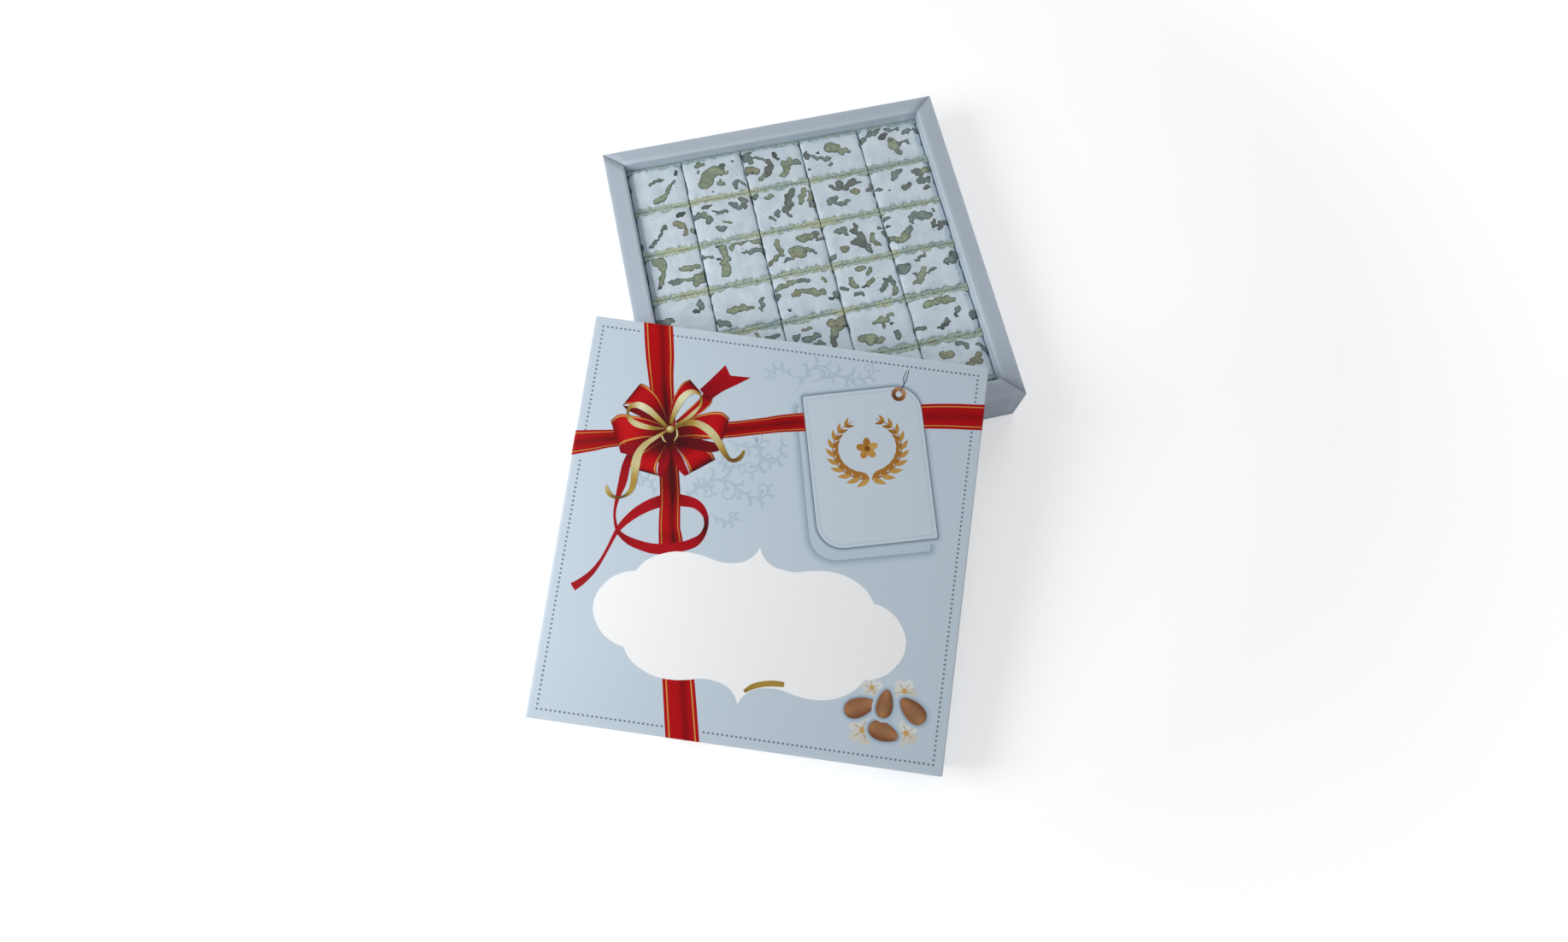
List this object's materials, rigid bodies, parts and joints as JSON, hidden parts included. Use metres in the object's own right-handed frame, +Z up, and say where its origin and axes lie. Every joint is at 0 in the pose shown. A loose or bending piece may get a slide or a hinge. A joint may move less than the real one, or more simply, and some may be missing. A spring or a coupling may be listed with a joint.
{
  "type": "nougat gift box",
  "caption": "Square card gift box: hollow-walled tray packed with wafer-faced nougat, and a lift-off printed lid leaning on the tray's rim.",
  "frame": {"origin": "centre of the tray's underside, on the table", "axes": "+Z up; X along the rows of nougat; +Y along the columns, from the leaning lid towards the tray's back"},
  "size_m": [0.3157, 0.4178, 0.0631],
  "materials": {
    "tray_board": "matte",
    "lid_board": "satin",
    "nougat": "satin"
  },
  "bodies": {
    "tray": {"tray": "tray_board"},
    "lid": {"lid": "lid_board"},
    "nougat_r1_c1": {"nougat_r1_c1": "nougat"},
    "nougat_r1_c2": {"nougat_r1_c2": "nougat"},
    "nougat_r1_c3": {"nougat_r1_c3": "nougat"},
    "nougat_r1_c4": {"nougat_r1_c4": "nougat"},
    "nougat_r1_c5": {"nougat_r1_c5": "nougat"},
    "nougat_r2_c1": {"nougat_r2_c1": "nougat"},
    "nougat_r2_c2": {"nougat_r2_c2": "nougat"},
    "nougat_r2_c3": {"nougat_r2_c3": "nougat"},
    "nougat_r2_c4": {"nougat_r2_c4": "nougat"},
    "nougat_r2_c5": {"nougat_r2_c5": "nougat"},
    "nougat_r3_c1": {"nougat_r3_c1": "nougat"},
    "nougat_r3_c2": {"nougat_r3_c2": "nougat"},
    "nougat_r3_c3": {"nougat_r3_c3": "nougat"},
    "nougat_r3_c4": {"nougat_r3_c4": "nougat"},
    "nougat_r3_c5": {"nougat_r3_c5": "nougat"},
    "nougat_r4_c1": {"nougat_r4_c1": "nougat"},
    "nougat_r4_c2": {"nougat_r4_c2": "nougat"},
    "nougat_r4_c3": {"nougat_r4_c3": "nougat"},
    "nougat_r4_c4": {"nougat_r4_c4": "nougat"},
    "nougat_r4_c5": {"nougat_r4_c5": "nougat"},
    "nougat_r5_c1": {"nougat_r5_c1": "nougat"},
    "nougat_r5_c2": {"nougat_r5_c2": "nougat"},
    "nougat_r5_c3": {"nougat_r5_c3": "nougat"},
    "nougat_r5_c4": {"nougat_r5_c4": "nougat"},
    "nougat_r5_c5": {"nougat_r5_c5": "nougat"},
    "nougat_r6_c1": {"nougat_r6_c1": "nougat"},
    "nougat_r6_c2": {"nougat_r6_c2": "nougat"},
    "nougat_r6_c3": {"nougat_r6_c3": "nougat"},
    "nougat_r6_c4": {"nougat_r6_c4": "nougat"},
    "nougat_r6_c5": {"nougat_r6_c5": "nougat"}
  },
  "joints": [
    {"name": "lid_lift", "type": "slide", "parent": "tray", "child": "lid", "axis": [0, 0, 1], "range_m": [0, 0.1]},
    {"name": "lift_r1_c1", "type": "slide", "parent": "tray", "child": "nougat_r1_c1", "axis": [0, 0, 1], "range_m": [0, 0.045]},
    {"name": "lift_r1_c2", "type": "slide", "parent": "tray", "child": "nougat_r1_c2", "axis": [0, 0, 1], "range_m": [0, 0.045]},
    {"name": "lift_r1_c3", "type": "slide", "parent": "tray", "child": "nougat_r1_c3", "axis": [0, 0, 1], "range_m": [0, 0.045]},
    {"name": "lift_r1_c4", "type": "slide", "parent": "tray", "child": "nougat_r1_c4", "axis": [0, 0, 1], "range_m": [0, 0.045]},
    {"name": "lift_r1_c5", "type": "slide", "parent": "tray", "child": "nougat_r1_c5", "axis": [0, 0, 1], "range_m": [0, 0.045]},
    {"name": "lift_r2_c1", "type": "slide", "parent": "tray", "child": "nougat_r2_c1", "axis": [0, 0, 1], "range_m": [0, 0.045]},
    {"name": "lift_r2_c2", "type": "slide", "parent": "tray", "child": "nougat_r2_c2", "axis": [0, 0, 1], "range_m": [0, 0.045]},
    {"name": "lift_r2_c3", "type": "slide", "parent": "tray", "child": "nougat_r2_c3", "axis": [0, 0, 1], "range_m": [0, 0.045]},
    {"name": "lift_r2_c4", "type": "slide", "parent": "tray", "child": "nougat_r2_c4", "axis": [0, 0, 1], "range_m": [0, 0.045]},
    {"name": "lift_r2_c5", "type": "slide", "parent": "tray", "child": "nougat_r2_c5", "axis": [0, 0, 1], "range_m": [0, 0.045]},
    {"name": "lift_r3_c1", "type": "slide", "parent": "tray", "child": "nougat_r3_c1", "axis": [0, 0, 1], "range_m": [0, 0.045]},
    {"name": "lift_r3_c2", "type": "slide", "parent": "tray", "child": "nougat_r3_c2", "axis": [0, 0, 1], "range_m": [0, 0.045]},
    {"name": "lift_r3_c3", "type": "slide", "parent": "tray", "child": "nougat_r3_c3", "axis": [0, 0, 1], "range_m": [0, 0.045]},
    {"name": "lift_r3_c4", "type": "slide", "parent": "tray", "child": "nougat_r3_c4", "axis": [0, 0, 1], "range_m": [0, 0.045]},
    {"name": "lift_r3_c5", "type": "slide", "parent": "tray", "child": "nougat_r3_c5", "axis": [0, 0, 1], "range_m": [0, 0.045]},
    {"name": "lift_r4_c1", "type": "slide", "parent": "tray", "child": "nougat_r4_c1", "axis": [0, 0, 1], "range_m": [0, 0.006]},
    {"name": "lift_r4_c2", "type": "slide", "parent": "tray", "child": "nougat_r4_c2", "axis": [0, 0, 1], "range_m": [0, 0.045]},
    {"name": "lift_r4_c3", "type": "slide", "parent": "tray", "child": "nougat_r4_c3", "axis": [0, 0, 1], "range_m": [0, 0.045]},
    {"name": "lift_r4_c4", "type": "slide", "parent": "tray", "child": "nougat_r4_c4", "axis": [0, 0, 1], "range_m": [0, 0.045]},
    {"name": "lift_r4_c5", "type": "slide", "parent": "tray", "child": "nougat_r4_c5", "axis": [0, 0, 1], "range_m": [0, 0.045]},
    {"name": "lift_r5_c1", "type": "slide", "parent": "tray", "child": "nougat_r5_c1", "axis": [0, 0, 1], "range_m": [0, 0.006]},
    {"name": "lift_r5_c2", "type": "slide", "parent": "tray", "child": "nougat_r5_c2", "axis": [0, 0, 1], "range_m": [0, 0.006]},
    {"name": "lift_r5_c3", "type": "slide", "parent": "tray", "child": "nougat_r5_c3", "axis": [0, 0, 1], "range_m": [0, 0.006]},
    {"name": "lift_r5_c4", "type": "slide", "parent": "tray", "child": "nougat_r5_c4", "axis": [0, 0, 1], "range_m": [0, 0.045]},
    {"name": "lift_r5_c5", "type": "slide", "parent": "tray", "child": "nougat_r5_c5", "axis": [0, 0, 1], "range_m": [0, 0.045]},
    {"name": "lift_r6_c1", "type": "slide", "parent": "tray", "child": "nougat_r6_c1", "axis": [0, 0, 1], "range_m": [0, 0.006]},
    {"name": "lift_r6_c2", "type": "slide", "parent": "tray", "child": "nougat_r6_c2", "axis": [0, 0, 1], "range_m": [0, 0.006]},
    {"name": "lift_r6_c3", "type": "slide", "parent": "tray", "child": "nougat_r6_c3", "axis": [0, 0, 1], "range_m": [0, 0.006]},
    {"name": "lift_r6_c4", "type": "slide", "parent": "tray", "child": "nougat_r6_c4", "axis": [0, 0, 1], "range_m": [0, 0.006]},
    {"name": "lift_r6_c5", "type": "slide", "parent": "tray", "child": "nougat_r6_c5", "axis": [0, 0, 1], "range_m": [0, 0.006]}
  ]
}
